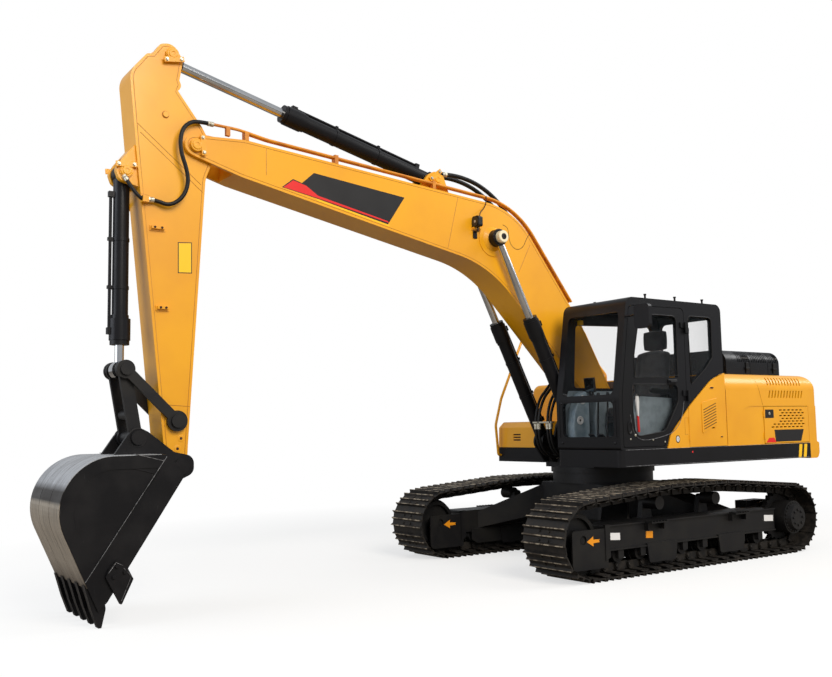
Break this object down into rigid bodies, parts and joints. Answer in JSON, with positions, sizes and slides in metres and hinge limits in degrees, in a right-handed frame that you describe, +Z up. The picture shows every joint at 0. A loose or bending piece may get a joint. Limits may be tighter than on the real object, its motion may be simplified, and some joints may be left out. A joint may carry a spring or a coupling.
{
  "type": "crawler excavator",
  "caption": "Tracked hydraulic excavator with raised boom, hanging arm and toothed bucket, closed cab on the left and counterweight behind.",
  "frame": {"origin": "on the ground under the slew axis", "axes": "+X ahead towards the bucket, +Y to the left (cab side), +Z up"},
  "size_m": [9.3896, 3.234, 5.086],
  "materials": {
    "yellow_paint": "satin machine yellow",
    "black_paint": "satin black",
    "cast_black": "painted casting",
    "track_steel": "worn track steel",
    "chrome": "hard chromed rod",
    "glass": "tinted pane",
    "cloth": "dark seat cloth",
    "cab_plastic": "dark trim",
    "engine_grey": "engine casting",
    "rubber": "hose rubber",
    "pipe_orange": "painted pipe"
  },
  "bodies": {
    "undercarriage": {"car_body": "cast_black", "side_frames": "cast_black", "track_left": "track_steel", "track_right": "track_steel", "idlers": "cast_black", "sprockets": "cast_black", "final_drives": "cast_black", "rollers": "cast_black", "slew_ring": "cast_black"},
    "upper": {"main_frame": "cast_black", "deck": "black_paint", "counterweight": "yellow_paint", "side_panels": "yellow_paint", "engine": "engine_grey", "exhaust": "black_paint", "left_fairing": "yellow_paint", "fuel_tank": "yellow_paint", "hydraulic_tank": "yellow_paint", "tool_box": "yellow_paint", "cab_shell": "black_paint", "cab_glass": "glass", "operator_seat": "cloth", "consoles": "cab_plastic", "handrails": "yellow_paint", "mirror": "black_paint", "foot_hoses": "rubber"},
    "hood": {"hood": "black_paint"},
    "cab_door": {"cab_door": "black_paint", "door_glass": "glass"},
    "left_front_door": {"left_front_door": "yellow_paint"},
    "left_rear_door": {"left_rear_door": "yellow_paint"},
    "right_rear_door": {"right_rear_door": "yellow_paint"},
    "boom": {"boom": "yellow_paint", "boom_pipes": "pipe_orange", "work_lamp": "black_paint", "boom_hoses": "rubber", "bucket_hoses": "rubber"},
    "boom_cylinder_barrels": {"boom_cylinder_barrels": "black_paint"},
    "boom_cylinder_rods": {"boom_cylinder_rods": "chrome"},
    "arm": {"arm": "yellow_paint"},
    "arm_cylinder_barrel": {"arm_cylinder_barrel": "black_paint"},
    "arm_cylinder_rod": {"arm_cylinder_rod": "chrome"},
    "bucket": {"bucket": "cast_black", "bucket_teeth": "cast_black"},
    "bucket_cylinder_barrel": {"bucket_cylinder_barrel": "black_paint"},
    "bucket_cylinder_rod": {"bucket_cylinder_rod": "chrome"},
    "rocker": {"rocker": "cast_black"},
    "bucket_link": {"bucket_link": "cast_black"}
  },
  "joints": [
    {"name": "slew", "type": "hinge", "parent": "undercarriage", "child": "upper", "pos_m": [0, 0, 1.056], "axis": [0, 0, 1], "continuous": true},
    {"name": "boom_lift", "type": "hinge", "parent": "upper", "child": "boom", "pos_m": [0.13, 0, 1.83], "axis": [0, -1, 0], "range_deg": [-73, 36], "deforming": ["foot_hoses"]},
    {"name": "boom_cylinder_swing", "type": "hinge", "parent": "upper", "child": "boom_cylinder_barrels", "pos_m": [0.68, 0, 1.37], "axis": [0, -1, 0], "range_deg": [-76, 38]},
    {"name": "boom_cylinder_stroke", "type": "slide", "parent": "boom_cylinder_barrels", "child": "boom_cylinder_rods", "axis": [0.4503, 0, 0.8929], "range_m": [-0.78, 0.39]},
    {"name": "arm_swing", "type": "hinge", "parent": "boom", "child": "arm", "pos_m": [5.328, 0, 4.167], "axis": [0, 1, 0], "range_deg": [-78, 31], "deforming": ["bucket_hoses"]},
    {"name": "arm_cylinder_swing", "type": "hinge", "parent": "boom", "child": "arm_cylinder_barrel", "pos_m": [2.53, 0, 4.255], "axis": [0, 1, 0], "range_deg": [-3, 3]},
    {"name": "arm_cylinder_stroke", "type": "slide", "parent": "arm_cylinder_barrel", "child": "arm_cylinder_rod", "axis": [0.9715, 0, 0.237], "range_m": [-1.06, 0.43]},
    {"name": "bucket_curl", "type": "hinge", "parent": "arm", "child": "bucket", "pos_m": [5.465, 0, 1.255], "axis": [0, 1, 0], "range_deg": [-15, 140]},
    {"name": "rocker_swing", "type": "hinge", "parent": "arm", "child": "rocker", "pos_m": [5.495, 0, 1.658], "axis": [0, 1, 0], "range_deg": [-12, 106]},
    {"name": "link_swing", "type": "hinge", "parent": "bucket", "child": "bucket_link", "pos_m": [5.851, 0, 1.517], "axis": [0, 1, 0], "range_deg": [-96, 11]},
    {"name": "bucket_cylinder_swing", "type": "hinge", "parent": "arm", "child": "bucket_cylinder_barrel", "pos_m": [5.945, 0, 3.86], "axis": [0, 1, 0], "range_deg": [-2, 2]},
    {"name": "bucket_cylinder_stroke", "type": "slide", "parent": "bucket_cylinder_barrel", "child": "bucket_cylinder_rod", "axis": [0.0057, 0, -1], "range_m": [-0.13, 1.09]},
    {"name": "hood_hinge", "type": "hinge", "parent": "upper", "child": "hood", "pos_m": [0, -0.594, 2.1303], "axis": [1, 0, 0], "range_deg": [0, 55]},
    {"name": "cab_door_hinge", "type": "hinge", "parent": "upper", "child": "cab_door", "pos_m": [0.049, 1.381, 2], "axis": [0, 0, 1], "range_deg": [0, 165]},
    {"name": "left_front_door_hinge", "type": "hinge", "parent": "upper", "child": "left_front_door", "pos_m": [0.027, 1.355, 1.6], "axis": [0, 0, 1], "range_deg": [-100, 0]},
    {"name": "left_rear_door_hinge", "type": "hinge", "parent": "upper", "child": "left_rear_door", "pos_m": [-1.353, 1.355, 1.5], "axis": [0, 0, -1], "range_deg": [0, 100]},
    {"name": "right_rear_door_hinge", "type": "hinge", "parent": "upper", "child": "right_rear_door", "pos_m": [-1.353, -1.355, 1.5], "axis": [0, 0, 1], "range_deg": [0, 100]}
  ],
  "couplings": [
    {"joint": "boom_cylinder_swing", "follows": "boom_lift", "ratio": 1.03},
    {"joint": "boom_cylinder_stroke", "follows": "boom_lift", "m_per_rad": 0.6},
    {"joint": "arm_cylinder_swing", "follows": "arm_swing", "ratio": 0.03},
    {"joint": "arm_cylinder_stroke", "follows": "arm_swing", "m_per_rad": 0.77},
    {"joint": "rocker_swing", "follows": "bucket_curl", "ratio": 0.75},
    {"joint": "link_swing", "follows": "bucket_curl", "ratio": -0.68},
    {"joint": "bucket_cylinder_swing", "follows": "bucket_curl", "ratio": -0.005},
    {"joint": "bucket_cylinder_stroke", "follows": "bucket_curl", "m_per_rad": 0.44}
  ]
}
